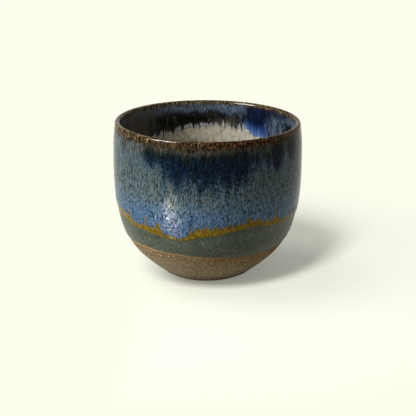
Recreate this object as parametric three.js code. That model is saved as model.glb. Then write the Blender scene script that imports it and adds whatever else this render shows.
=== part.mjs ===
// A thrown espresso cup without a handle: one trimmed stoneware body under three fired coats of glaze.
// Millimetres, +Z up. The origin is the centre of the ring that the cup stands on, and its front faces -Y.
import * as THREE from "three";
import { mergeGeometries } from "three/addons/utils/BufferGeometryUtils.js";

// Clay, underneath: a turned ring to stand on, round a shallow recess
const FLANK_RADIUS = 13.85; // where the line of the flank would meet the table
const FOOT_SET_IN = 0.55; // from there in to the edge of the standing ring
const FOOT_BEVEL_HEIGHT = 1.2; // top of the bevel between the standing ring and the flank
const FOOT_RING_WIDTH = 3.3;
const RECESS_DEPTH = 1.2;

// Clay, outside: a flank that leaves the foot at a slant and swells into an upright belly
const FLANK_ANGLE = 38.6; // degrees above the table, at the foot
const FLANK_PULL = 15.7; // length of the flank's curve handle
const BELLY_RADIUS = 32.43;
const BELLY_HEIGHT = 41.5; // the widest level
const BELLY_PULL = 29.4; // length of the belly's curve handle
const SHOULDER_RISE = 12.25; // belly to the start of the lip
const SHOULDER_DRAW = 0.26; // how far the wall closes in over that rise
const LIP_THICKNESS = 1.5;

// Clay, inside: a wall that thickens downwards and a rounded floor
const BELLY_WALL = 2.95;
const FLANK_WALL = 4.2; // between the curve handles of the flank and of the bowl
const BOWL_PULL = 27.5; // length of the bowl's upper curve handle
const FLOOR_THICKNESS = 4.0; // over the recess

// Glaze coats, as thick as they lie after firing
const BASE_GLAZE = 0.25;
const LINER_GLAZE = 0.3;
const BLUE_GLAZE = 0.32;
const BLUE_BEAD = 0.38; // where the run has gathered along its lower edge
const BLUE_INSIDE = 0.24;
const LIP_GLAZE = 0.2; // glaze pulls thin over the lip
const EDGE_ROLL = 1.2; // width over which a coat rises from the surface to its thickness

// A glaze edge is a level line with waves. Each wave has a count in a turn, a share of the edge's rise and
// the degrees from +X to one of its crests.
const WAX_HEIGHT = 14.15; // above the table, where the base glaze was wiped off
const WAX_RISE = 0.92;
const WAX_WAVES = [
  { count: 1, share: 1, crest: 102 },
  { count: 2, share: 0.54, crest: 19 },
  { count: 3, share: 0.33, crest: 9 },
];
const RUN_ABOVE_WAX = 9.95; // height of base glaze left in sight under the run of the blue glaze
const RUN_RISE = 2.07;
const RUN_WAVES = [
  { count: 1, share: 1, crest: 102 },
  { count: 2, share: 0.52, crest: -28 },
  { count: 3, share: 0.55, crest: 53 },
  { count: 5, share: 0.26, crest: 6 },
];
const RUN_INSIDE_DEPTH = 11.8; // below the crest of the lip, where the blue glaze stopped inside
const RUN_INSIDE_RISE = 1.52;
const RUN_INSIDE_WAVES = [
  { count: 1, share: 1, crest: 102 },
  { count: 2, share: 0.82, crest: 90 },
  { count: 3, share: 0.59, crest: -33 },
  { count: 17, share: 0.33, crest: 88 },
  { count: 23, share: 0.26, crest: 60 },
];

// Facets: sides round the cup, and bands between one edge on the wall and the next
const SIDES = 72;
const FLANK_BANDS = 4;
const BASE_BANDS = 3;
const BLUE_BANDS = 6;
const LIP_BANDS = 6;
const INSIDE_BANDS = 3;
const BOWL_BANDS = 7;
const WAX_ROW = FLANK_BANDS;
const RUN_ROW = WAX_ROW + BASE_BANDS;
const LIP_ROW = RUN_ROW + BLUE_BANDS;
const LIP_END_ROW = LIP_ROW + LIP_BANDS;
const INSIDE_ROW = LIP_END_ROW + INSIDE_BANDS;
const FLOOR_ROW = INSIDE_ROW + BOWL_BANDS;

const HALVINGS = 40; // of the search for a height along the wall

const lipRadius = LIP_THICKNESS / 2;
const lipLevel = BELLY_HEIGHT + SHOULDER_RISE;
const crestLevel = lipLevel + lipRadius;
const floorLevel = RECESS_DEPTH + FLOOR_THICKNESS;

// The clay's section as one path of curves: up the flank, belly and shoulder, over the lip and down the bowl.
function wallCurves() {
  const foot = new THREE.Vector2(FLANK_RADIUS, 0);
  const slant = THREE.MathUtils.degToRad(FLANK_ANGLE);
  const upFlank = new THREE.Vector2(Math.cos(slant), Math.sin(slant));
  const flankHandle = foot.clone().addScaledVector(upFlank, FLANK_PULL);
  const belly = new THREE.Vector2(BELLY_RADIUS, BELLY_HEIGHT);
  const rim = new THREE.Vector2(BELLY_RADIUS - SHOULDER_DRAW, lipLevel);
  const rimInside = new THREE.Vector2(rim.x - LIP_THICKNESS, lipLevel);
  const bellyInside = new THREE.Vector2(BELLY_RADIUS - BELLY_WALL, BELLY_HEIGHT);
  const midShoulder = BELLY_HEIGHT + SHOULDER_RISE / 2;
  return [
    new THREE.CubicBezierCurve(
      foot,
      flankHandle,
      new THREE.Vector2(BELLY_RADIUS, BELLY_HEIGHT - BELLY_PULL),
      belly,
    ),
    new THREE.QuadraticBezierCurve(belly, new THREE.Vector2(belly.x, midShoulder), rim),
    new THREE.EllipseCurve(rim.x - lipRadius, lipLevel, lipRadius, lipRadius, 0, Math.PI),
    new THREE.QuadraticBezierCurve(rimInside, new THREE.Vector2(bellyInside.x, midShoulder), bellyInside),
    new THREE.CubicBezierCurve(
      bellyInside,
      new THREE.Vector2(bellyInside.x, BELLY_HEIGHT - BOWL_PULL),
      new THREE.Vector2(flankHandle.x - FLANK_WALL, floorLevel),
      new THREE.Vector2(0, floorLevel),
    ),
  ];
}

const wall = new THREE.CurvePath();
wallCurves().forEach((curve) => wall.add(curve));
const wallLength = wall.getLength();
const [, lipStart, lipEnd] = wall.getCurveLengths();
const crest = (lipStart + lipEnd) / 2;

// A point on the wall, a given length along its section, lifted off the clay by a thickness of glaze.
function wallPoint(place, lift) {
  const point = wall.getPoint(place / wallLength);
  const along = wall.getTangent(place / wallLength);
  return new THREE.Vector2(Math.max(point.x + along.y * lift, 0), point.y - along.x * lift);
}

// The length along the wall, between two places of which the first is the lower, at which it has a height.
function placeAtHeight(height, lower, upper) {
  for (let i = 0; i < HALVINGS; i++) {
    const middle = (lower + upper) / 2;
    if (wall.getPoint(middle / wallLength).y < height) {
      lower = middle;
    } else {
      upper = middle;
    }
  }
  return (lower + upper) / 2;
}

// The height of a glaze edge at an angle round the cup.
function edgeHeight(level, rise, waves, angle) {
  const turn = ({ count, crest }) => count * (angle - THREE.MathUtils.degToRad(crest));
  return waves.reduce((height, wave) => height + rise * wave.share * Math.cos(turn(wave)), level);
}

// Places at equal steps from one to another, without the first of them.
function steps(from, to, count) {
  return Array.from({ length: count }, (_, i) => from + ((to - from) * (i + 1)) / count);
}

// The rows of points up the flank, over the lip and down to the floor, at an angle. They follow the glaze
// edges, so that a coat and the surface under it share their points.
function wallRows(angle) {
  const waxEdge = edgeHeight(WAX_HEIGHT, WAX_RISE, WAX_WAVES, angle);
  const runEdge = edgeHeight(WAX_HEIGHT + RUN_ABOVE_WAX, RUN_RISE, RUN_WAVES, angle);
  const insideEdge = edgeHeight(crestLevel - RUN_INSIDE_DEPTH, RUN_INSIDE_RISE, RUN_INSIDE_WAVES, angle);
  const bevel = placeAtHeight(FOOT_BEVEL_HEIGHT, 0, crest);
  const wax = placeAtHeight(waxEdge, 0, crest);
  const run = placeAtHeight(runEdge, 0, crest);
  const inside = placeAtHeight(insideEdge, wallLength, crest);
  const waxRoll = wax + EDGE_ROLL;
  const runRoll = run + EDGE_ROLL;
  const insideRoll = inside - EDGE_ROLL;
  return [
    bevel,
    ...steps(bevel, wax, FLANK_BANDS),
    waxRoll,
    ...steps(waxRoll, run, BASE_BANDS - 1),
    runRoll,
    ...steps(runRoll, lipStart, BLUE_BANDS - 1),
    ...steps(lipStart, lipEnd, LIP_BANDS),
    ...steps(lipEnd, insideRoll, INSIDE_BANDS - 1),
    inside,
    ...steps(inside, wallLength, BOWL_BANDS),
  ];
}

// The thickness of the first coat at a row: base glaze outside, liner inside and neither on the lip.
function firstCoat(row) {
  if (row > WAX_ROW && row < LIP_ROW) {
    return BASE_GLAZE;
  }
  return row > LIP_END_ROW ? LINER_GLAZE : 0;
}

// The thickness of the blue coat at a row, over the first coat.
function blueCoat(row) {
  if (row <= RUN_ROW || row >= INSIDE_ROW) {
    return 0;
  }
  if (row === RUN_ROW + 1) {
    return BLUE_BEAD;
  }
  if (row < LIP_ROW) {
    return BLUE_GLAZE;
  }
  return row > LIP_END_ROW ? BLUE_INSIDE : LIP_GLAZE;
}

const clayFace = () => 0;
const glazedFace = (row) => firstCoat(row) + blueCoat(row);

const angles = Array.from({ length: SIDES }, (_, i) => (i / SIDES) * 2 * Math.PI);
const rowsAtAngle = angles.map(wallRows);

// The underside of the foot, from the middle of the recess out to the edge of the standing ring.
function footSection() {
  const ringOutside = FLANK_RADIUS - FOOT_SET_IN;
  const ringInside = ringOutside - FOOT_RING_WIDTH;
  return [
    new THREE.Vector2(0, RECESS_DEPTH),
    new THREE.Vector2(ringInside, RECESS_DEPTH),
    new THREE.Vector2(ringInside, 0),
    new THREE.Vector2(ringOutside, 0),
  ];
}

// A skin round the cup between two rows: a lathe whose section is set anew at every angle. The lift is the
// thickness of glaze under the skin at each row, and the start is a section that it goes on from.
function skin(firstRow, lastRow, lift, start = []) {
  const sections = rowsAtAngle.map((rows) => [
    ...start,
    ...rows.slice(firstRow, lastRow + 1).map((place, i) => wallPoint(place, lift(firstRow + i))),
  ]);
  const count = sections[0].length;
  const geometry = new THREE.LatheGeometry(sections[0], SIDES);
  const position = geometry.getAttribute("position");
  for (let side = 0; side <= SIDES; side++) {
    const angle = angles[side % SIDES];
    sections[side % SIDES].forEach((point, i) => {
      position.setXYZ(side * count + i, point.x * Math.cos(angle), point.x * Math.sin(angle), point.y);
    });
  }
  geometry.computeVertexNormals();
  return geometry;
}

// A coat of glaze between two rows: its outer skin, and the skin of what it lies on turned inside out.
// The two meet at the coat's edges, where it has no thickness.
function coat(firstRow, lastRow, under, top) {
  const outer = skin(firstRow, lastRow, top);
  const inner = skin(firstRow, lastRow, under);
  inner.setIndex(Array.from(inner.index.array).reverse());
  inner.computeVertexNormals();
  return mergeGeometries([outer, inner]);
}

function piece(name, geometry, finish) {
  const mesh = new THREE.Mesh(geometry, new THREE.MeshStandardMaterial(finish));
  mesh.name = name;
  return mesh;
}

// Thrown and trimmed stoneware, bare from the foot up to the wax line.
function clayBody() {
  const geometry = skin(0, FLOOR_ROW, clayFace, footSection());
  return piece("clay_body", geometry, { color: 0x7a6248, roughness: 0.9, metalness: 0 });
}

// Grey-green glaze that the outside was dipped in, from the wax line up to the lip.
function baseGlaze() {
  const geometry = coat(WAX_ROW, LIP_ROW, clayFace, firstCoat);
  return piece("base_glaze", geometry, { color: 0x58645f, roughness: 0.35, metalness: 0 });
}

// Cream glaze that was poured in and out again, from the lip down over the floor.
function linerGlaze() {
  const geometry = coat(LIP_END_ROW, FLOOR_ROW, clayFace, firstCoat);
  return piece("liner_glaze", geometry, { color: 0xbeb8a8, roughness: 0.3, metalness: 0 });
}

// Blue glaze that the rim was dipped in, over both first coats: it has run down outside and in.
function blueGlaze() {
  const geometry = coat(RUN_ROW, INSIDE_ROW, firstCoat, glazedFace);
  return piece("blue_glaze", geometry, { color: 0x3f5a80, roughness: 0.2, metalness: 0 });
}

const cup = new THREE.Group();
cup.name = "espresso_cup";
cup.add(clayBody(), baseGlaze(), linerGlaze(), blueGlaze());

export default cup;
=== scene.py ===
import bpy
import mathutils
import numpy as np
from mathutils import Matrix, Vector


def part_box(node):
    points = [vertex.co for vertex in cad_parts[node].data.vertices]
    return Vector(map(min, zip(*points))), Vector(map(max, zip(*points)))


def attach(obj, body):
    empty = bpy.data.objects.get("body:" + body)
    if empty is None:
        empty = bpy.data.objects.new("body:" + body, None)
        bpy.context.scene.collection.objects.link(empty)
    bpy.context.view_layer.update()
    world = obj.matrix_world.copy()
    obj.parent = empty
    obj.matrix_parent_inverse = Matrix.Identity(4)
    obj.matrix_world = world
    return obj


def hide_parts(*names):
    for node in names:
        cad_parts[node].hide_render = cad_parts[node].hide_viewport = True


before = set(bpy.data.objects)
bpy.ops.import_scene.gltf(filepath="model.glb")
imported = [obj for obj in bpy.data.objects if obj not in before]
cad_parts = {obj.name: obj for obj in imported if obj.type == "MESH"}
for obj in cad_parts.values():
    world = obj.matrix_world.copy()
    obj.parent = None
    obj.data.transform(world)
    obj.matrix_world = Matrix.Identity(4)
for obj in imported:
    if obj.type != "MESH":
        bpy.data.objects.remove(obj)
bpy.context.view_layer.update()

# Clay body
# Brown, grainy stoneware, thrown on a wheel and trimmed upside down to a bevelled ring that it stands on.
# It is bare from the ring up to the wax line, with the marks of the trimming tool, and carries the glazes.
# The sizes of all pieces are millimetres, which turned_mesh makes metres.
METRE = 1000.0
clay_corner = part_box("clay_body")[1]
belly_radius = clay_corner.x * METRE
crest_height = clay_corner.z * METRE
FLANK_RADIUS = 13.85  # where the flank's curve meets the ground
FLANK_ANGLE = np.radians(38.6)
FLANK_PULL = 15.7  # a pull is the length of a curve's handle
BELLY_HEIGHT = 41.5
BELLY_PULL = 29.4
SHOULDER_DRAW = 0.26  # how far the wall is drawn in from the belly to the lip
LIP_RADIUS = 0.75
BELLY_WALL = 2.95
FLANK_WALL = 4.2  # how far the handle of the bowl's curve lies inside that of the flank's
BOWL_PULL = 27.5
FLOOR_HEIGHT = 5.2
RECESS_DEPTH = 1.2
RECESS_RADIUS = 10.0
RECESS_SLOPE = 0.1  # how far the recess's low wall leans outwards
RIPPLE_RISE = 0.03  # ripples of the recess's floor
RIPPLE_PITCH = 1.4
RING_RADIUS = 13.3
RING_INNER_EDGE = 0.25  # heights of the ring's rounded edges
RING_OUTER_EDGE = 0.12
SOFT_CORNER = 0.3  # how far the corners of ring and recess are rounded off
BEVEL_HEIGHT = 1.2
WAX_HEIGHT = 14.15
BARE_HEIGHT = 16.5  # the wax line lies below this all round
BARE_MARGIN = 1.0  # from the bare wall's last row of points to the next one
MARK_PITCH = 0.9  # of the spiral that the trimming tool left
FINE_PITCH = 0.387  # of a finer spiral that crosses it
FINE_SHARE = 0.6
MARK_DEPTH = 0.035
MARK_END = 16.0  # height at which the marks end, under the base glaze
MARK_FADE = 2.0
RIM_TILT = 0.22  # the rim stands this much above true at the left, and as much below it at the right
FOOT_SHIFT = 0.3  # the foot was trimmed this far to the left of the belly's axis
POLE_GAP = 0.4  # radius of the ring of points round the middle of the recess
CLAY_SIDES = 480


def bezier(handles, count=300):
    """A Bezier curve: the handles are blended in pairs, by even shares, until one point is left."""
    share = np.linspace(0, 1, count)[:, None]
    points = [np.tile(handle, (count, 1)) for handle in np.array(handles, float)]
    while len(points) > 1:
        points = [first + (second - first) * share for first, second in zip(points, points[1:])]
    return points[0]


def wall_section():
    """The clay's section as radius and height: two curves up the flank, belly and shoulder, a half circle
    over the lip, and two curves down the bowl to the middle of its floor."""
    flank = (FLANK_RADIUS + FLANK_PULL * np.cos(FLANK_ANGLE), FLANK_PULL * np.sin(FLANK_ANGLE))
    belly = (belly_radius, BELLY_HEIGHT)
    inside = belly_radius - BELLY_WALL
    rim_radius = belly_radius - SHOULDER_DRAW
    lip_height = crest_height - LIP_RADIUS
    shoulder = (BELLY_HEIGHT + lip_height) / 2
    turn = np.linspace(0, np.pi, 120)[:, None]
    lip = (rim_radius - LIP_RADIUS, lip_height) + LIP_RADIUS * np.hstack([np.cos(turn), np.sin(turn)])
    bowl = [(inside, BELLY_HEIGHT - BOWL_PULL), (flank[0] - FLANK_WALL, FLOOR_HEIGHT), (0, FLOOR_HEIGHT)]
    return np.vstack([
        bezier([(FLANK_RADIUS, 0), flank, (belly_radius, BELLY_HEIGHT - BELLY_PULL), belly]),
        bezier([belly, (belly_radius, shoulder), (rim_radius, lip_height)])[1:],
        lip[1:],
        bezier([(rim_radius - 2 * LIP_RADIUS, lip_height), (inside, shoulder), (inside, BELLY_HEIGHT)])[1:],
        bezier([(inside, BELLY_HEIGHT), *bowl])[1:],
    ])


section = wall_section()
steps = np.linalg.norm(np.diff(section, axis=0), axis=1)
section_place = np.concatenate([[0], np.cumsum(steps)])
section_along = np.gradient(section, section_place, axis=0)
section_along /= np.linalg.norm(section_along, axis=1)[:, None]
crest_row = int(section[:, 1].argmax())
crest_place = section_place[crest_row]
lip_start = crest_place - LIP_RADIUS * np.pi / 2
lip_end = crest_place + LIP_RADIUS * np.pi / 2
floor_place = section_place[-1]


def on_wall(place, lift):
    """Radius and height of points so far along the wall's section, lifted off the clay by its normal."""
    radius, height = (np.interp(place, section_place, side) for side in section.T)
    along_radius, along_height = (np.interp(place, section_place, side) for side in section_along.T)
    return np.maximum(radius + lift * along_height, 0), height - lift * along_radius


def outside_place(height):
    """How far along the section its outside has a height."""
    return np.interp(height, section[:crest_row, 1], section_place[:crest_row])


def inside_place(height):
    """How far along the section its inside has a height."""
    return np.interp(height, section[:crest_row:-1, 1], section_place[:crest_row:-1])


def round_the_cup(sides):
    """Even angles round the cup, from +X."""
    return np.linspace(0, 2 * np.pi, sides, endpoint=False)


def next_round(rows):
    """Each point's neighbour round the cup."""
    return np.roll(rows, -1, axis=-1)


def turned_mesh(name, radius, height, angle, poles=None):
    """A surface of rows of points round the axis: x, y = radius at the angle. It leans as the real cup
    does: the foot is shifted and the rim tilted. The rows close on themselves, or at two poles whose
    heights are given."""
    radius, height = np.broadcast_arrays(radius, height)
    rows, sides = radius.shape
    points = np.stack([radius * np.cos(angle), radius * np.sin(angle), height], -1).reshape(-1, 3)
    if poles is not None:
        points = np.vstack([points, [(0, 0, pole) for pole in poles]])
    upness = points[:, 2] / crest_height
    points[:, 2] -= RIM_TILT * upness ** 2 * points[:, 0] / belly_radius
    points[:, 0] -= FOOT_SHIFT * (1 - upness) ** 2
    index = np.arange(rows * sides).reshape(rows, sides)
    low = index if poles is None else index[:-1]
    high = np.roll(index, -1, axis=0)[: len(low)]
    faces = np.stack([low, next_round(low), next_round(high), high], -1).reshape(-1, 4).tolist()
    if poles is not None:
        first_pole = np.full(sides, rows * sides)
        faces += np.stack([first_pole, next_round(index[0]), index[0]], -1).tolist()
        faces += np.stack([first_pole + 1, index[-1], next_round(index[-1])], -1).tolist()
    mesh = bpy.data.meshes.new(name)
    mesh.from_pydata((points / METRE).tolist(), [], faces)
    mesh.polygons.foreach_set("use_smooth", np.ones(len(faces), bool))
    mesh.update()
    piece = bpy.data.objects.new(name, mesh)
    bpy.context.scene.collection.objects.link(piece)
    return piece


def note(piece, name, values):
    """Writes a number for each point of a piece, for its finish. Poles repeat the first and the last."""
    values = np.ravel(values)
    if len(values) < len(piece.data.vertices):
        values = np.concatenate([values, [values[0], values[-1]]])
    layer = piece.data.attributes.new(name, "FLOAT", "POINT")
    layer.data.foreach_set("value", values.astype(np.float32))


def tone(code):
    """A colour written as a picture shows it, as the linear colour that a shader takes."""
    shown = np.array([code >> 16 & 255, code >> 8 & 255, code & 255]) / 255
    linear = np.where(shown <= 0.04045, shown / 12.92, ((shown + 0.055) / 1.055) ** 2.4)
    return (*linear.tolist(), 1.0)


class Finish:
    """A procedural finish made of nodes, added by short calls, that ends in one Principled shader."""

    def __init__(self, name):
        """An empty finish, with the piece's Object coordinates at hand."""
        self.material = bpy.data.materials.new(name)
        self.material.use_nodes = True
        self.tree = self.material.node_tree
        self.shader = self.tree.nodes["Principled BSDF"]
        self.position = self.add("ShaderNodeTexCoord").outputs["Object"]

    def add(self, kind, inputs=None, **settings):
        """A node with its settings and with a number, colour or link on each named or numbered input."""
        node = self.tree.nodes.new(kind)
        for key, value in settings.items():
            setattr(node, key, value)
        for key, value in (inputs or {}).items():
            self.feed(node.inputs[key], value)
        return node

    def feed(self, socket, value):
        """Links a socket, or sets its plain value."""
        if isinstance(value, bpy.types.NodeSocket):
            self.tree.links.new(value, socket)
        else:
            socket.default_value = value

    def read(self, name):
        """The number that note() wrote for each point."""
        return self.add("ShaderNodeAttribute", attribute_name=name).outputs["Fac"]

    def grid(self, width, height, shift):
        """Object coordinates in shares of a grain's width and height, shifted so that patterns differ."""
        scale = (METRE / width, METRE / width, METRE / height)
        inputs = {"Vector": self.position, "Scale": scale, "Location": (shift, shift, shift)}
        return self.add("ShaderNodeMapping", inputs).outputs[0]

    def cloud(self, width, height, detail=2.0, roughness=0.55, shift=0.0):
        """Noise, mostly from 0 to 1, in grains of a width and a height: tall ones make streaks."""
        grid = self.grid(width, height, shift)
        noise = {"Vector": grid, "Scale": 1.0, "Detail": detail, "Roughness": roughness}
        value = self.add("ShaderNodeTexNoise", noise).outputs["Fac"]
        return self.add("ShaderNodeMapRange", {"Value": value, 1: 0.27, 2: 0.73}, clamp=False).outputs[0]

    def dots(self, spacing, shift=0.0):
        """Distance, in shares of the spacing, to the nearest of many scattered dots."""
        grid = self.grid(spacing, spacing, shift)
        return self.add("ShaderNodeTexVoronoi", {"Vector": grid, "Scale": 1.0}).outputs["Distance"]

    def sway(self, value, *clouds):
        """A value swayed to both sides by clouds, each with its reach."""
        for cloud, reach in clouds:
            inputs = {0: cloud, 1: reach, 2: -reach / 2}
            middle = self.add("ShaderNodeMath", inputs, operation="MULTIPLY_ADD").outputs[0]
            value = self.add("ShaderNodeMath", {0: value, 1: middle}, operation="ADD").outputs[0]
        return value

    def times(self, first, second):
        """Two numbers multiplied."""
        return self.add("ShaderNodeMath", {0: first, 1: second}, operation="MULTIPLY").outputs[0]

    def rise(self, value, low, high):
        """0 below low, 1 above high and a smooth step between. With low above high it falls."""
        limits = {"Value": value, "From Min": low, "From Max": high}
        return self.add("ShaderNodeMapRange", limits, interpolation_type="SMOOTHSTEP").outputs[0]

    def between(self, share, low, high):
        """A share from 0 to 1 as a number from low to high."""
        return self.add("ShaderNodeMapRange", {"Value": share, "To Min": low, "To Max": high}).outputs[0]

    def blend(self, share, first, second):
        """The first colour, giving way to the second."""
        return self.add("ShaderNodeMix", {0: share, 6: first, 7: second}, data_type="RGBA").outputs[2]

    def speckle(self, colour, value, low, high, most, specks):
        """A colour with specks of another where a value rises from low to high, at most by a share."""
        return self.blend(self.times(self.rise(value, low, high), most), colour, specks)

    def bands(self, value, reach, stops):
        """Colours met in turn as a value grows to the reach: each stop is a value and a colour."""
        ramp = self.add("ShaderNodeValToRGB", {0: self.times(value, 1 / reach)})
        elements = ramp.color_ramp.elements
        while len(elements) < len(stops):
            elements.new(0.5)
        for element, (at, colour) in zip(elements, stops):
            element.position = at / reach
            element.color = colour
        return ramp.outputs["Color"]

    def relief(self, *layers):
        """Bumps laid over one another, each a cloud with its height in millimetres."""
        normal = None
        for cloud, height in layers:
            inputs = {"Height": cloud, "Distance": height / METRE}
            if normal is not None:
                inputs["Normal"] = normal
            normal = self.add("ShaderNodeBump", inputs).outputs["Normal"]
        self.feed(self.shader.inputs["Normal"], normal)

    def surface(self, colour, roughness, **plain):
        """Sets the shader's colour and roughness, and its plain values by name with _ for a space."""
        self.feed(self.shader.inputs["Base Color"], colour)
        self.feed(self.shader.inputs["Roughness"], roughness)
        for key, value in plain.items():
            self.shader.inputs[key.replace("_", " ")].default_value = value


def waves(angle, level, *shape):
    """A level line with waves: each has a count in a turn, a rise and the degrees from +X to a crest."""
    return level + sum(rise * np.cos(count * (angle - np.radians(crest))) for count, rise, crest in shape)


def wax_line(angle):
    """Height of the lower edge of the base glaze, where it was wiped off."""
    broad = waves(angle, WAX_HEIGHT, (1, 0.92, 102), (2, 0.5, 19), (3, 0.3, 9))
    return waves(angle, broad, (13, 0.07, 30), (29, 0.05, 4))


def underside():
    """Radius and height of points under the foot: out over the rippled recess, down its low wall, over
    the flat ring and up to its rounded outer edge."""
    recess = np.linspace(POLE_GAP, RECESS_RADIUS - SOFT_CORNER, 24)
    ripples = RECESS_DEPTH + RIPPLE_RISE * np.cos(2 * np.pi * recess / RIPPLE_PITCH)
    wall_foot = RECESS_RADIUS + RECESS_SLOPE
    ring = np.linspace(wall_foot + SOFT_CORNER, RING_RADIUS - SOFT_CORNER, 6)
    wall_heights = [RECESS_DEPTH - SOFT_CORNER / 2, RING_INNER_EDGE]
    radius = np.concatenate([recess, [RECESS_RADIUS, wall_foot], ring, [RING_RADIUS]])
    height = np.concatenate([ripples, wall_heights, np.zeros(len(ring)), [RING_OUTER_EDGE]])
    return radius, height


def clay_body():
    """Rings of points from the middle of the recess out over the foot, up the wall, over the lip and to
    the floor. The bare wall is cut by the waves of two spirals, which wear away and come back three times
    round the cup."""
    angle = round_the_cup(CLAY_SIDES)
    bare = np.linspace(outside_place(BEVEL_HEIGHT), outside_place(BARE_HEIGHT), 116)
    glazed = np.linspace(bare[-1] + BARE_MARGIN, lip_start, 16)
    lip = np.linspace(lip_start, lip_end, 10)[1:]
    bowl = np.linspace(lip_end, floor_place, 26)[1:-1]
    place = np.concatenate([bare, glazed, lip, bowl])[:, None]
    spiral = np.cos(2 * np.pi * place / MARK_PITCH + angle)
    fine_spiral = np.cos(2 * np.pi * place / FINE_PITCH - angle)
    worn = 0.6 + 0.4 * np.cos(3 * angle + place)
    shown = np.clip((outside_place(MARK_END) - place) / MARK_FADE, 0, 1)
    radius, height = on_wall(place, MARK_DEPTH * (spiral + FINE_SHARE * fine_spiral) * worn * shown)
    under_radius, under_height = underside()
    radius = np.vstack([np.tile(under_radius[:, None], CLAY_SIDES), radius])
    height = np.vstack([np.tile(under_height[:, None], CLAY_SIDES), height])
    poles = (RECESS_DEPTH + RIPPLE_RISE, FLOOR_HEIGHT)
    piece = turned_mesh("stoneware_body", radius, height, angle, poles)
    note(piece, "below_wax", wax_line(angle) - height)
    note(piece, "up", height)
    return piece


def stoneware():
    """Bare fired clay: buff, warmer brown below the glaze and lighter towards the foot, partly as painted
    light from below, and darker at the foot's edge, with darker turning marks and with dark and pale
    grains."""
    bare = Finish("bare_stoneware")
    below_wax, up = bare.read("below_wax"), bare.read("up")
    grain = bare.cloud(0.5, 0.5, detail=3, roughness=0.75)
    coarse = bare.cloud(1.0, 0.7, detail=2, shift=12)
    patch = bare.cloud(2.6, 1.2, detail=3, shift=4)
    turning = bare.cloud(9.0, 0.4, detail=2, shift=9)
    # Lighter towards the foot: partly the clay's own colour, partly painted light sent up from below.
    colour = bare.bands(bare.sway(below_wax, (patch, 2.0)), 12, [
        (0, tone(0x8C6A3E)), (1.6, tone(0x886D47)), (6, tone(0xA29272)), (12, tone(0xB2A284))])
    colour = bare.speckle(colour, turning, 0.5, 0.9, 0.6, tone(0x7A6443))
    colour = bare.speckle(colour, coarse, 0.55, 0.85, 0.6, tone(0x62492B))
    colour = bare.speckle(colour, grain, 0.55, 0.8, 0.85, tone(0x3C2B18))
    colour = bare.speckle(colour, grain, 0.42, 0.15, 0.8, tone(0xDCC9A2))
    colour = bare.speckle(colour, bare.sway(up, (patch, 1.6)), 3.4, 0.9, 0.45, tone(0x4A3B28))
    bare.relief((grain, 0.15), (turning, 0.1))
    bare.surface(colour, 0.9, Specular_IOR_Level=0.1)
    return bare.material


body = clay_body()
body.data.materials.append(stoneware())
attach(body, "root")
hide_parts("clay_body")

# Liner glaze
# Cream, satin glaze that was poured into the cup and out again, so it covers the bowl from the lip down.
# Iron in the clay has come through it as brown specks, and the rings of throwing show under it.
LINER_SIDES = 480
LINER_GLAZE = 0.3
LINER_THINNING = 5.0  # length below the lip over which it grows to its thickness
LINER_POLE_GAP = 0.3  # from the last rings of points to the middle of the floor
THROWING_PITCH = 5.5  # rings that the potter's fingers left
THROWING_RISE = 0.07
THROWING_START = 8.0  # length below the lip at which they begin
THROWING_FADE = 6.0


def liner_lift(place):
    """Thickness of the liner along the wall: nothing on the lip, whole a few millimetres below it."""
    return LINER_GLAZE * np.clip((place - lip_end) / LINER_THINNING, 0, 1)


def liner():
    """The clay under the liner from the middle of the floor up to the lip, and the liner's face back down
    again, with a spiral of low waves on it for the rings of throwing."""
    angle = round_the_cup(LINER_SIDES)
    under = np.linspace(floor_place - LINER_POLE_GAP, lip_end, 30)[:-1, None]
    top = np.linspace(lip_end, floor_place - LINER_POLE_GAP, 150)[:, None]
    rings = THROWING_RISE * np.cos(2 * np.pi * top / THROWING_PITCH + angle)
    shown = np.clip((top - lip_end - THROWING_START) / THROWING_FADE, 0, 1)
    under_radius, under_height = on_wall(np.tile(under, LINER_SIDES), 0)
    top_radius, top_height = on_wall(top, liner_lift(top) + rings * shown)
    radius = np.vstack([under_radius, top_radius])
    height = np.vstack([under_height, top_height])
    poles = (FLOOR_HEIGHT, FLOOR_HEIGHT + LINER_GLAZE)
    return turned_mesh("cream_liner", radius, height, angle, poles)


def cream_glaze():
    """Cream glaze with soft clouds, fine dark and pale pepper, olive stains and brown iron specks."""
    cream = Finish("cream_liner_glaze")
    cloud = cream.cloud(1.6, 2.6, detail=4, roughness=0.65)
    pepper = cream.cloud(0.42, 0.6, detail=2, roughness=0.65, shift=3)
    specks = cream.sway(cream.dots(2.2, shift=5), (pepper, 0.2))
    stain = cream.cloud(1.1, 2.6, detail=2, shift=9)
    colour = cream.blend(cream.rise(cloud, 0.25, 0.75), tone(0x98917E), tone(0xB0AA97))
    colour = cream.speckle(colour, pepper, 0.6, 0.95, 0.55, tone(0x6A6048))
    colour = cream.speckle(colour, pepper, 0.4, 0.1, 0.4, tone(0xC9C5B6))
    colour = cream.speckle(colour, stain, 0.72, 1.0, 0.5, tone(0x6E6440))
    colour = cream.speckle(colour, specks, 0.22, 0.1, 0.75, tone(0x6B4F30))
    cream.relief((cloud, 0.12), (pepper, 0.02))
    cream.surface(colour, 0.38, Specular_IOR_Level=0.2)
    return cream.material


lining = liner()
lining.data.materials.append(cream_glaze())
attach(lining, "root")
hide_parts("liner_glaze")

# Base glaze
# Grey-green, satin glaze that the outside was dipped in, up to the lip. It was wiped off at the wax line,
# where its thin edge has burnt to a tan line, and only a band of it shows below the run of the blue glaze.
BASE_SIDES = 720
BASE_GLAZE = 0.25
THINNING = 5.5  # length below the lip over which the base glaze gives out
EDGE_ROLL = 1.2  # width over which a coat rises from the surface to its thickness
EDGE_CROWD = 1.5  # power that crowds the rows of points towards a coat's edge
BURNT_SHADE_DARKEST = np.radians(30)  # angle from +X at which the painted shade on the burnt line is darkest
BURNT_SHADE_FALL = 3  # power by which that painted shade deepens away from the left


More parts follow.
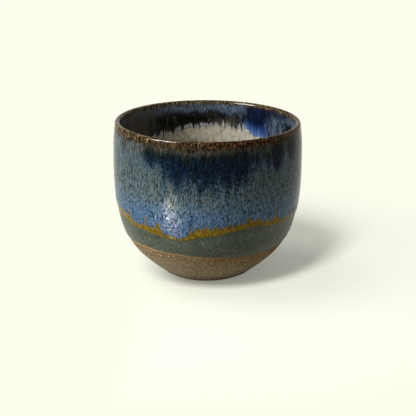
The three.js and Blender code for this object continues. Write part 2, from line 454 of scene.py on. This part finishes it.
def rolled(distance, width=EDGE_ROLL):
    """A coat's edge as a quarter of an ellipse: 0 at the edge, 1 from the width on."""
    return np.sqrt(1 - (1 - np.clip(distance / width, 0, 1)) ** 2)


def edge_rows(count):
    """Distances from a coat's edge to where it is whole: even shares raised to a power."""
    return EDGE_ROLL * np.linspace(0, 1, count)[:, None] ** EDGE_CROWD


def further_rows(start, end, count):
    """Even rows of points between two lines round the cup, without the first line and with the last."""
    return start + (end - start) * np.linspace(0, 1, count)[1:, None]


def base_lift(place, wax):
    """Thickness of the base glaze along the wall: rolled at the wax line and nothing at the lip."""
    return BASE_GLAZE * rolled(place - wax) * np.clip((lip_start - place) / THINNING, 0, 1)


def dipped_base():
    """The base glaze's outer face from the wax line to the lip, and the clay under it back down again."""
    angle = round_the_cup(BASE_SIDES)
    wax = outside_place(wax_line(angle))
    top = np.vstack([wax + edge_rows(10), further_rows(wax + EDGE_ROLL, lip_start, 50)])
    under = further_rows(lip_start, wax, 14)[:-1]
    top_radius, top_height = on_wall(top, base_lift(top, wax))
    under_radius, under_height = on_wall(under, 0)
    radius = np.vstack([top_radius, under_radius])
    height = np.vstack([top_height, under_height])
    piece = turned_mesh("grey_green_base", radius, height, angle)
    place = np.vstack([top, under])
    # Share of tan in the burnt line; its fall to dark brown towards the right is painted shade.
    tan = (0.5 - 0.5 * np.cos(angle - BURNT_SHADE_DARKEST)) ** BURNT_SHADE_FALL
    note(piece, "above_wax", place - wax)
    note(piece, "tan", np.broadcast_to(tan, place.shape))
    return piece


def grey_green_glaze():
    """Grey-green glaze with soft mottling, olive grain low down, dark and pale pepper and pale specks. The
    burnt line along its edge is tan at the left and dark brown at the right, where the dark is painted
    shade."""
    slate = Finish("grey_green_glaze")
    above_wax, tan = slate.read("above_wax"), slate.read("tan")
    mottle = slate.cloud(1.1, 1.5, detail=3)
    drift = slate.cloud(7.0, 4.0, detail=2, shift=2)
    pepper = slate.cloud(0.42, 0.55, detail=2, roughness=0.7, shift=6)
    grain = slate.cloud(0.8, 0.7, detail=2, roughness=0.65, shift=15)
    specks = slate.sway(slate.dots(2.1, shift=8), (pepper, 0.16))
    colour = slate.blend(slate.rise(drift, 0.2, 0.8), tone(0x3E4439), tone(0x4E564A))
    colour = slate.speckle(colour, mottle, 0.5, 0.9, 0.5, tone(0x5D6758))
    olive = slate.times(slate.rise(above_wax, 8, 2), 0.55)
    colour = slate.speckle(colour, grain, 0.45, 0.75, olive, tone(0x5C583E))
    colour = slate.speckle(colour, pepper, 0.55, 0.85, 0.75, tone(0x262B25))
    colour = slate.speckle(colour, pepper, 0.38, 0.1, 0.55, tone(0x7A8474))
    colour = slate.speckle(colour, specks, 0.19, 0.04, 0.5, tone(0xAAB2A8))
    edge = slate.rise(slate.sway(above_wax, (pepper, 0.4), (mottle, 0.4)), 1.1, 0.6)
    # The burnt line: tan at the left, darkened to brown towards the right by painted shade.
    burnt = slate.blend(tan, tone(0x33281A), tone(0xC09A58))
    colour = slate.blend(edge, colour, burnt)
    slate.relief((mottle, 0.08), (pepper, 0.04))
    slate.surface(colour, 0.34, Specular_IOR_Level=0.12)
    return slate.material


base = dipped_base()
base.data.materials.append(grey_green_glaze())
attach(base, "root")
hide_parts("base_glaze")

# Blue glaze
# A fluid blue glaze that the rim was dipped in, over both of the others. It ran down the wall in streaks,
# pooled navy under the lip, broke to rust brown on the lip and stopped in an ochre band with blue fingers.
BLUE_SIDES = 1150
BLUE_GLAZE = 0.32
BLUE_INSIDE = 0.24
LIP_GLAZE = 0.2
OCHRE_SHARE = 0.55  # thickness of the ochre band as a share of the blue's
BEAD_ROLL = 1.5  # width over which the blue rises from the ochre
RUN_ROLL = 0.8  # width over which the ochre rises from the base glaze
RUN_HEIGHT = 24.1
RUN_INSIDE_HEIGHT = 42.5
SAG_DEPTH = 3.5
SAG_SMOOTHS = 0.95  # share of the drips' length that is lost in the sag
DRIPS = 120
OCHRE_BAND = 2.3
OCHRE_LEAST = 0.5
SPIKES = 110
LIP_OUTSIDE = 3.6  # how far from the crest the rust of the lip reaches outside
LIP_INSIDE = 1.8
PATCH_RISE = 3.5  # length over which a patch grows to its depth
BLUEST = np.radians(-139)  # angle from +X at which the wall is bluest, and the lip most tan with the most pale spots, there partly painted light
FAR_OFF = 20.0  # distance noted for an edge that is on the other side of the lip

# Each finger is the degrees from +X, its half width in degrees and its length.
SAG = [(36.0, 13.0, 1.0)]  # with its length as a share of SAG_DEPTH
MAIN_SPIKES = [
    (-147, 0.9, 3.6), (-131, 0.7, 4.2), (-122, 2.0, 3.0), (-95, 0.5, 1.8), (-85, 0.6, 1.6), (-77, 0.6, 2.0),
    (-64, 0.5, 2.4), (-58, 0.5, 1.6), (-50.5, 0.6, 3.2), (-44.5, 0.5, 5.5), (-30, 0.6, 2.4),
]
OCHRE_THICK = [(-143.0, 18.0, 0.6), (-95.0, 6.0, 0.9)]
OCHRE_THIN = [(-111.0, 8.0, 1.1)]

# Each patch is the degrees from +X, its half width in degrees, its depth, and the distances from the crest
# at which it starts and has thinned to nothing.
POOLS_OUTSIDE = [
    (-151, 3, 0.9, 3.0, 10), (-122, 10, 1.45, 4.4, 13), (-105, 14, 1.65, 4.6, 22), (-88, 13, 1.5, 4.6, 22),
    (-72, 9.5, 1.7, 4.4, 20), (-57, 14, 0.9, 4.2, 15), (-45, 5, 3.0, 4.0, 13), (-30, 5, 2.2, 3.8, 12),
    (6, 28, 0.9, 4.6, 15), (20, 9, 1.4, 4.4, 17), (58, 30, 1.0, 4.8, 21), (66, 12, 1.5, 4.8, 19),
    (92, 16, 1.2, 4.6, 24), (124, 26, 1.0, 4.8, 19), (133, 9, 1.5, 4.6, 17), (163, 12, 0.9, 4.4, 14),
]
POOLS_INSIDE = [
    (51, 12.5, 1.2, 0.6, 30), (34, 14, 1.0, 0.6, 7), (-40, 14, 1.0, 2.0, 20), (-120, 20, 1.0, 2.0, 14),
]
HAZE_OUTSIDE = [
    (-160, 27, 1.0, 1.5, 14), (28, 12, 0.9, 1.5, 13), (106, 9, 0.9, 1.5, 13), (150, 10, 0.9, 1.5, 13),
]
HAZE_INSIDE = [
    (33, 12, 0.8, 3.8, 40), (74, 8, 1.3, 0.8, 7), (66, 1.6, 0.7, 0.5, 13), (62, 2.5, 0.5, 5, 15),
    (-75, 16, 0.8, 1.0, 9), (-165, 10, 0.7, 1.0, 8),
]
SMOKE_INSIDE = [(150, 24, 1.1, 0.5, 40), (76, 10, 0.8, 6.5, 18), (-100, 40, 0.8, 3.0, 30)]
rng = np.random.default_rng(7)


def fingers(angle, places, widths, lengths, blunt=2):
    """Narrow peaks round the cup, each a bell of its own width, the longest counting where they meet. The
    higher blunt is, the more a bell turns into a post with a round top."""
    away = np.abs(np.angle(np.exp(1j * (angle - np.radians(places)[:, None]))))
    return (lengths[:, None] * np.exp(-(away / np.radians(widths)[:, None]) ** blunt)).max(axis=0)


def chosen_fingers(angle, rows, blunt=2):
    """Fingers from rows of a place, a width and a length."""
    return fingers(angle, *np.array(rows).T, blunt)


def run_line(angle):
    """Height at which the blue glaze stopped outside."""
    broad = waves(angle, RUN_HEIGHT, (1, 2.07, 102), (2, 1.08, -28), (3, 1.13, 53))
    return waves(angle, broad, (5, 0.54, 6), (11, 0.25, -93), (19, 0.13, 0))


def run_inside_line(angle):
    """Height at which the blue glaze stopped inside: the main waves, a deep sag at the right, and drips
    that hang below them, short in the sag."""
    places, widths = rng.uniform(0, 360, DRIPS), rng.uniform(0.4, 1.3, DRIPS)
    drips = fingers(angle, places, widths, rng.uniform(0.2, 2.2, DRIPS))
    sag = chosen_fingers(angle, SAG)
    line = waves(angle, RUN_INSIDE_HEIGHT, (1, 1.5, 84), (2, 1.24, 82), (3, 0.6, -44))
    return line - SAG_DEPTH * sag - drips * (1 - SAG_SMOOTHS * sag)


def ochre_height(angle):
    """Height of the ochre band over the run's edge: a wavy band, round tongues of blue that hang into it,
    and thin spikes of ochre that stand up between them."""
    places, widths = rng.uniform(0, 360, SPIKES), rng.uniform(0.25, 0.6, SPIKES)
    spikes = fingers(angle, places, widths, rng.gamma(1.4, 0.7, SPIKES))
    spikes = np.maximum(spikes, chosen_fingers(angle, MAIN_SPIKES, blunt=3))
    places, widths = rng.uniform(0, 360, SPIKES), rng.uniform(0.9, 2.0, SPIKES)
    tongues = fingers(angle, places, widths, rng.uniform(0.2, 1.0, SPIKES))
    band = waves(angle, OCHRE_BAND, (4, 0.2, 10), (9, 0.2, 40), (16, 0.15, 3))
    band = band + chosen_fingers(angle, OCHRE_THICK) - chosen_fingers(angle, OCHRE_THIN)
    return np.maximum(band - tongues, OCHRE_LEAST) + spikes


def blue_lift(place, run, inside, ochre):
    """Thickness of the blue glaze over the first coat: thin in the ochre band, a bead of blue above it,
    thin on the lip, and rolled off to nothing at both edges."""
    below_lip = np.clip((lip_start - place) / THINNING, 0, 1)
    bead = OCHRE_SHARE + (1 - OCHRE_SHARE) * rolled(place - run - ochre, BEAD_ROLL)
    outer = (LIP_GLAZE + (BLUE_GLAZE - LIP_GLAZE) * below_lip) * bead * rolled(place - run, RUN_ROLL)
    down = np.clip((place - lip_end) / THINNING, 0, 1)
    inner = (LIP_GLAZE + (BLUE_INSIDE - LIP_GLAZE) * down) * rolled(inside - place)
    return np.where(place < crest_place, outer, inner)


def patches(angle, drop, spots):
    """Depth of soft patches on the wall, the deepest counting where they meet. Each fades to its sides as
    a blunt bell, starts along a ragged line and thins out evenly down the wall."""
    depth = np.zeros(drop.shape)
    ragged = waves(angle, 0.2, (7, 0.3, 0), (17, 0.2, 50), (31, 0.15, 20), (53, 0.15, 5))
    for at, half, most, start, end in spots:
        away = np.angle(np.exp(1j * (angle - np.radians(at)))) / np.radians(half)
        begun = np.clip((drop - start - ragged) / PATCH_RISE + 0.5, 0, 1)
        left = np.clip((end - drop) / (end - start), 0, 1)
        depth = np.maximum(depth, most * np.exp(-np.abs(away) ** 3) * begun * left)
    return depth


def first_coats(place, wax):
    """Thickness of what the blue glaze lies on: the base glaze outside and the liner inside."""
    return np.where(place < crest_place, base_lift(place, wax), liner_lift(place))


def running_blue():
    """The blue glaze's face from its run outside over the lip to its drips inside, and what it lies on
    back again. Distances to its edges and the depths of its patches are noted for the finish."""
    angle = round_the_cup(BLUE_SIDES)
    wax = outside_place(wax_line(angle))
    run = outside_place(run_line(angle))
    inside = inside_place(run_inside_line(angle))
    ochre = ochre_height(angle)
    edge = edge_rows(7)
    top = np.vstack([
        run + edge,
        further_rows(run + EDGE_ROLL, lip_start, 34),
        np.tile(further_rows(lip_start, lip_end, 13), BLUE_SIDES),
        further_rows(lip_end, inside - EDGE_ROLL, 14),
        inside - edge[-2::-1],
    ])
    under = further_rows(inside, run, 16)[:-1]
    top_radius, top_height = on_wall(top, first_coats(top, wax) + blue_lift(top, run, inside, ochre))
    under_radius, under_height = on_wall(under, first_coats(under, wax))
    radius = np.vstack([top_radius, under_radius])
    height = np.vstack([top_height, under_height])
    piece = turned_mesh("running_blue", radius, height, angle)
    place = np.vstack([top, under])
    outside = place < crest_place
    drop = np.abs(place - crest_place)
    pools = np.where(outside, patches(angle, drop, POOLS_OUTSIDE), patches(angle, drop, POOLS_INSIDE))
    haze = np.where(outside, patches(angle, drop, HAZE_OUTSIDE), patches(angle, drop, HAZE_INSIDE))
    note(piece, "outside", outside)
    note(piece, "drop", drop)
    note(piece, "above_ochre", np.where(outside, place - run - ochre, FAR_OFF))
    note(piece, "above_drips", np.where(outside, FAR_OFF, inside - place))
    note(piece, "pool", pools)
    note(piece, "bluest", np.broadcast_to(0.5 + 0.5 * np.cos(angle - BLUEST), place.shape))
    note(piece, "lip_share", drop / np.where(outside, LIP_OUTSIDE, LIP_INSIDE))
    note(piece, "haze", haze)
    note(piece, "smoke", np.where(outside, 0, patches(angle, drop, SMOKE_INSIDE)))
    return piece


def wall_colours(blue, clouds):
    """Outside: zones that follow the distance from the crest, swayed by the streaks, from brown and olive
    through steel grey to blue. Over them lie grey haze, pale and dark streaks, olive and black flecks, a
    pale web low down and a dark stipple. The pools are teal black at the top and navy below, and the run
    ends in ochre."""
    fur, runs, mottle, grain, fleck, web = clouds
    drop, pool, bluest = blue.read("drop"), blue.read("pool"), blue.read("bluest")
    fallen = blue.sway(drop, (runs, 6.0), (fur, 5.0))
    wall = blue.bands(fallen, 36, [
        (0, tone(0x33281A)), (4, tone(0x353224)), (8, tone(0x455459)), (13, tone(0x56686F)),
        (19, tone(0x62757A)), (24, tone(0x577380)), (29, tone(0x4C6D88)), (34, tone(0x44688C))])
    wall = blue.speckle(wall, blue.sway(blue.read("haze"), (fur, 0.4)), 0.0, 1.0, 0.7, tone(0x5C6766))
    lower = blue.rise(fallen, 18, 28)
    wall = blue.blend(blue.times(blue.times(bluest, lower), 0.5), wall, tone(0x416C9C))
    wall = blue.speckle(wall, fur, 0.55, 0.95, 0.5, tone(0x8393A0))
    wall = blue.speckle(wall, fur, 0.5, 0.15, 0.7, tone(0x18232A))
    middle = blue.times(blue.rise(drop, 8, 14), blue.rise(drop, 28, 20))
    wall = blue.speckle(wall, fleck, 0.48, 0.85, blue.times(middle, 0.55), tone(0x66613F))
    wall = blue.blend(blue.times(blue.times(web, lower), 0.35), wall, tone(0x9CB0C0))
    wall = blue.speckle(wall, fleck, 0.42, 0.15, blue.times(middle, 0.75), tone(0x171C16))
    depth = blue.sway(pool, (fur, 0.5), (runs, 0.8), (grain, 0.5), (mottle, 0.4))
    thin = blue.blend(fur, tone(0x122430), tone(0x3C5A74))
    navy = blue.blend(blue.rise(fur, 0.3, 1.1), tone(0x02070C), tone(0x0D2847))
    navy = blue.speckle(navy, grain, 0.42, 0.1, 0.5, tone(0x1D3D5E))
    teal = blue.blend(blue.rise(fur, 0.3, 1.1), tone(0x060C0C), tone(0x1B2E33))
    navy = blue.blend(blue.rise(blue.sway(drop, (runs, 3.0)), 8.5, 5), navy, teal)
    wall = blue.speckle(wall, depth, 0.1, 0.55, blue.times(blue.rise(drop, 5, 9), 0.7), thin)
    stipple = blue.times(blue.rise(drop, 6, 14), 0.75)
    wall = blue.speckle(wall, grain, 0.52, 0.7, stipple, tone(0x131C22))
    wall = blue.blend(blue.rise(depth, 0.25, 0.9), wall, navy)
    ochre = blue.blend(blue.rise(mottle, 0.2, 0.8), tone(0x665010), tone(0x8A7020))
    return blue.blend(blue.rise(blue.sway(blue.read("above_ochre"), (fur, 0.9)), 0.15, -0.15), wall, ochre)


def bowl_colours(blue, clouds):
    """Inside: a streaked steel grey band under the lip, black brown below it and a pale fringe at the
    drips. The pools are cobalt, with a wide blue fringe, and patches of grey blue haze and brown smoke
    run down beside them."""
    fur, runs, mottle = clouds[:3]
    drop, pool, haze, smoke = blue.read("drop"), blue.read("pool"), blue.read("haze"), blue.read("smoke")
    bowl = blue.bands(blue.sway(drop, (runs, 1.8), (fur, 1.8)), 14, [
        (0, tone(0x4A4232)), (1.4, tone(0x3C4044)), (3.2, tone(0x3E4A58)), (4.6, tone(0x080B10)),
        (6.6, tone(0x0A0A08)), (9, tone(0x1A180F)), (14, tone(0x201C12))])
    high = blue.times(blue.rise(drop, 5.5, 3.0), 0.6)
    bowl = blue.speckle(bowl, fur, 0.45, 0.95, high, tone(0x7C8C9C))
    bowl = blue.speckle(bowl, fur, 0.45, 0.1, high, tone(0x14181E))
    bowl = blue.speckle(bowl, mottle, 0.55, 0.95, 0.5, tone(0x332E1C))
    bowl = blue.speckle(bowl, blue.sway(smoke, (fur, 0.6), (runs, 0.6)), 0.1, 1.0, 0.9, tone(0x4C493E))
    cobalt = blue.blend(blue.rise(fur, 0.3, 1.1), tone(0x02050E), tone(0x14294F))
    cobalt = blue.speckle(cobalt, drop, 6, 12, blue.rise(fur, 0.0, 0.7), tone(0x284586))
    bowl = blue.blend(blue.rise(blue.sway(pool, (fur, 0.4), (runs, 0.4)), 0.2, 0.7), bowl, cobalt)
    pale = blue.blend(blue.rise(fur, 0.1, 1.0), tone(0x16202E), tone(0x64768A))
    bowl = blue.blend(blue.rise(blue.sway(haze, (fur, 0.6), (runs, 0.6)), 0.15, 1.0), bowl, pale)
    in_pool = blue.rise(pool, 0.2, 0.6)
    fringe = blue.blend(in_pool, tone(0xA8A8AA), tone(0x5873A6))
    near = blue.sway(blue.read("above_drips"), (fur, 2.4), (runs, 1.0))
    bowl = blue.speckle(bowl, near, 4.0, 0.0, in_pool, tone(0x46608E))
    return blue.blend(blue.rise(near, 1.7, 0.0), bowl, fringe)


def lip_colours(blue, clouds):
    """On the lip: the glaze ran thin and broke to rust, or to tan inside, with dark grain, pale spots and
    black flecks. Towards the left it is tan with more pale spots, partly as painted light."""
    mottle, grain, fleck = clouds[2:5]
    bluest = blue.read("bluest")
    # Rust gives way to tan towards the left: partly the glaze's colour, partly painted light.
    rust = blue.blend(blue.rise(bluest, 0.7, 1.0), tone(0x552F10), tone(0x664E2E))
    thin = blue.blend(blue.read("outside"), tone(0x7A6644), rust)
    thin = blue.blend(blue.rise(grain, 0.35, 0.65), tone(0x150D06), thin)
    # More pale spots towards the left: partly real spots, partly painted light.
    spots = blue.between(blue.rise(bluest, 0.45, 1.0), 0.45, 0.9)
    thin = blue.speckle(thin, mottle, 0.55, 0.85, spots, tone(0x98815A))
    return blue.speckle(thin, fleck, 0.5, 0.7, 0.95, tone(0x0A0704))


def streaked_blue_glaze():
    """The colours of wall, bowl and lip under one gloss. Far from the crest it is a little rougher, with
    shallow pits. Its clouds are fine streaks, broad runs, soft mottling, grain, flecks and a web of fine
    veins."""
    blue = Finish("running_blue_glaze")
    fur = blue.cloud(0.5, 2.4, detail=3, roughness=0.65)
    runs = blue.cloud(2.2, 15, detail=3, shift=3)
    mottle = blue.cloud(0.9, 1.5, detail=3, roughness=0.6, shift=5)
    grain = blue.cloud(0.5, 0.9, detail=2, roughness=0.7, shift=7)
    fleck = blue.cloud(0.6, 1.5, detail=1, shift=11)
    vein = blue.cloud(0.8, 1.1, detail=1, shift=14)
    pits = blue.cloud(0.6, 0.7, detail=0, shift=17)
    ridge = blue.add("ShaderNodeMath", {0: vein, 1: 0.5}, operation="PINGPONG").outputs[0]
    web = blue.rise(ridge, 0.36, 0.48)
    clouds = (fur, runs, mottle, grain, fleck, web)
    colour = blue.blend(blue.read("outside"), bowl_colours(blue, clouds), wall_colours(blue, clouds))
    lip = blue.rise(blue.sway(blue.read("lip_share"), (mottle, 0.8), (grain, 0.7)), 1.15, 0.5)
    colour = blue.blend(lip, colour, lip_colours(blue, clouds))
    low = blue.rise(blue.read("drop"), 14, 24)
    gloss = {0: low, 1: 0.03, 2: blue.between(mottle, 0.05, 0.11)}
    roughness = blue.add("ShaderNodeMath", gloss, operation="MULTIPLY_ADD").outputs[0]
    blue.relief((blue.times(pits, low), 0.08))
    blue.surface(colour, roughness, Specular_IOR_Level=0.04)
    return blue.material


glaze = running_blue()
glaze.data.materials.append(streaked_blue_glaze())
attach(glaze, "root")
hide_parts("blue_glaze")

# Floor and light
# A cream floor, and lamps that each light only what they are for: soft ones at the left for the cup, weak
# ones from below for what a table sends back up, and two over the floor that draw the cup's shadow on it.
# White sky, stronger from the left, lights everything from all round. Lengths here are metres.
CREAM = tone(0xFDFEEE)
SHADED_CREAM = tone(0xC9CABE)  # the part of the paint that takes light and shadow
PLAIN_SHARE = 0.24  # the part of the paint near the cup that takes none
TABLE = tone(0x80807A)  # what the floor sends back up on to the cup
FLOOR_HALF = 3.0
SHADOW_REACH = (0.06, 0.13)  # distances from the axis between which the lit paint gives way to plain cream
SHADOW_SIDE = (-0.006, -0.03)  # and places along X between which it does so at the left
GLINT_SPOT = (-0.0134, -0.0297, 0.027)  # low on the front left of the blue glaze
SKY_LEFT = 0.53
SKY_RIGHT = 0.32
cup = [body, lining, base, glaze]


def seen_directly(tree):
    """1 for rays from the lens and for mirrored or refracted ones, 0 for light that only bounces."""
    path = tree.nodes.new("ShaderNodeLightPath")
    seen = path.outputs["Is Camera Ray"]
    for name in ("Is Glossy Ray", "Is Transmission Ray"):
        either = tree.nodes.new("ShaderNodeMath")
        either.operation = "MAXIMUM"
        tree.links.new(seen, either.inputs[0])
        tree.links.new(path.outputs[name], either.inputs[1])
        seen = either.outputs[0]
    return seen


def cream_floor():
    """A flat square, painted cream, with nodes that turn the paint to plain cream away from the cup and
    at the left. Light that only bounces sees it as a grey table."""
    mesh = bpy.data.meshes.new("floor")
    corners = [(-FLOOR_HALF, -FLOOR_HALF, 0), (FLOOR_HALF, -FLOOR_HALF, 0),
               (FLOOR_HALF, FLOOR_HALF, 0), (-FLOOR_HALF, FLOOR_HALF, 0)]
    mesh.from_pydata(corners, [], [(0, 1, 2, 3)])
    floor = bpy.data.objects.new("floor", mesh)
    bpy.context.scene.collection.objects.link(floor)
    paint = Finish("cream_floor")
    away = paint.add("ShaderNodeVectorMath", {0: paint.position}, operation="LENGTH").outputs["Value"]
    across = paint.add("ShaderNodeSeparateXYZ", {0: paint.position}).outputs["X"]
    lit = paint.add("ShaderNodeBsdfDiffuse", {"Color": SHADED_CREAM}).outputs[0]
    plain = paint.add("ShaderNodeEmission", {"Color": CREAM, "Strength": 1.0}).outputs[0]
    table = paint.add("ShaderNodeBsdfDiffuse", {"Color": TABLE}).outputs[0]
    fades = {0: paint.rise(away, *SHADOW_REACH), 1: paint.rise(across, *SHADOW_SIDE)}
    faded = paint.add("ShaderNodeMath", fades, operation="MAXIMUM").outputs[0]
    share = paint.between(faded, PLAIN_SHARE, 1.0)
    cream = paint.add("ShaderNodeMixShader", {0: share, 1: lit, 2: plain}).outputs[0]
    both = paint.add("ShaderNodeMixShader", {0: seen_directly(paint.tree), 1: table, 2: cream}).outputs[0]
    paint.feed(paint.tree.nodes["Material Output"].inputs["Surface"], both)
    mesh.materials.append(paint.material)
    return floor


def soft_lamp(name, turn, lift, power, lights_only, mirrored=True, matt=True, width=0.18, height=0.36,
              away=0.8, aim=(0, 0, 0), spread=180):
    """A soft lamp so far away from its aim, turned from +X and lifted by degrees, that lights only the
    listed objects. Where it isn't mirrored, or has no effect on matt surfaces, it is hidden from those
    rays. Only the cup stands in its way. The spread is the angle of its beam in degrees."""
    lamp = bpy.data.lights.new(name, "AREA")
    lamp.shape = "RECTANGLE"
    lamp.size = width
    lamp.size_y = height
    lamp.spread = np.radians(spread)
    lamp.energy = power
    holder = bpy.data.objects.new(name, lamp)
    turn, lift = np.radians(turn), np.radians(lift)
    way = np.array([np.cos(lift) * np.cos(turn), np.cos(lift) * np.sin(turn), np.sin(lift)])
    holder.location = aim + away * way
    holder.rotation_euler = mathutils.Vector(-way).to_track_quat("-Z", "Y").to_euler()
    holder.visible_glossy = mirrored
    holder.visible_diffuse = matt
    bpy.context.scene.collection.objects.link(holder)
    shades = bpy.data.collections.new(name + "_shades")
    lights = bpy.data.collections.new(name + "_lights")
    for piece in cup:
        shades.objects.link(piece)
    for thing in lights_only:
        lights.objects.link(thing)
    holder.light_linking.blocker_collection = shades
    holder.light_linking.receiver_collection = lights


def white_sky():
    """White light from all round, stronger from the left by an even slope along X, which the lens,
    reflections and glass see as the cream background."""
    world = bpy.data.worlds.new("white_sky")
    bpy.context.scene.world = world
    world.use_nodes = True
    tree = world.node_tree
    light = tree.nodes["Background"]
    light.inputs["Color"].default_value = (1, 1, 1, 1)
    way = tree.nodes.new("ShaderNodeSeparateXYZ")
    tree.links.new(tree.nodes.new("ShaderNodeTexCoord").outputs["Generated"], way.inputs[0])
    level = tree.nodes.new("ShaderNodeMapRange")
    tree.links.new(way.outputs["X"], level.inputs["Value"])
    for name, value in (("From Min", -1), ("From Max", 1), ("To Min", SKY_LEFT), ("To Max", SKY_RIGHT)):
        level.inputs[name].default_value = value
    tree.links.new(level.outputs[0], light.inputs["Strength"])
    cream = tree.nodes.new("ShaderNodeBackground")
    cream.inputs["Color"].default_value = CREAM
    mix = tree.nodes.new("ShaderNodeMixShader")
    tree.links.new(seen_directly(tree), mix.inputs[0])
    tree.links.new(light.outputs[0], mix.inputs[1])
    tree.links.new(cream.outputs[0], mix.inputs[2])
    tree.links.new(mix.outputs[0], tree.nodes["World Output"].inputs["Surface"])


floor = cream_floor()
soft_lamp("side_lamp", turn=-152, lift=38, power=6.6, lights_only=cup, mirrored=False)
soft_lamp("side_lamp_glint", turn=-148, lift=38, power=110, lights_only=cup, matt=False, width=0.34)
soft_lamp("table_bounce", turn=-165, lift=-25, power=1.1, lights_only=cup, mirrored=False)
soft_lamp("table_glint", turn=-138, lift=-29.7, power=0.02, lights_only=[glaze], matt=False,
          width=0.004, height=0.05, away=0.15, aim=GLINT_SPOT, spread=4)
soft_lamp("shadow_lamp", turn=-114, lift=52.5, power=8.5, lights_only=[floor], mirrored=False,
          width=0.14, height=0.3)
soft_lamp("overhead_lamp", turn=160, lift=68, power=1.8, lights_only=[floor], mirrored=False,
          width=0.3, height=0.3)
white_sky()

# Camera
# It stands half a metre off, in front and a little above, and looks down at the middle of the cup.
# Its place and focal length are millimetres.
AIM = (0.09, 0.0, 22.674)
CAMERA_AWAY = 530.0
CAMERA_LIFT = np.radians(16.674)
FOCAL = 129.59
SENSOR_WIDTH = 36.0
NEAREST = 10.0


def lens_in_front():
    """A camera so far from its aim, lifted by an angle over the floor, on the front side."""
    lens = bpy.data.cameras.new("camera")
    lens.lens = FOCAL
    lens.sensor_width = SENSOR_WIDTH
    lens.clip_start = NEAREST / METRE
    camera = bpy.data.objects.new("camera", lens)
    back = np.array([0, -np.cos(CAMERA_LIFT), np.sin(CAMERA_LIFT)])
    camera.location = (np.array(AIM) + CAMERA_AWAY * back) / METRE
    camera.rotation_euler = (np.pi / 2 - CAMERA_LIFT, 0, 0)
    bpy.context.scene.collection.objects.link(camera)
    bpy.context.scene.camera = camera


lens_in_front()
bpy.context.scene.view_settings.view_transform = "Standard"
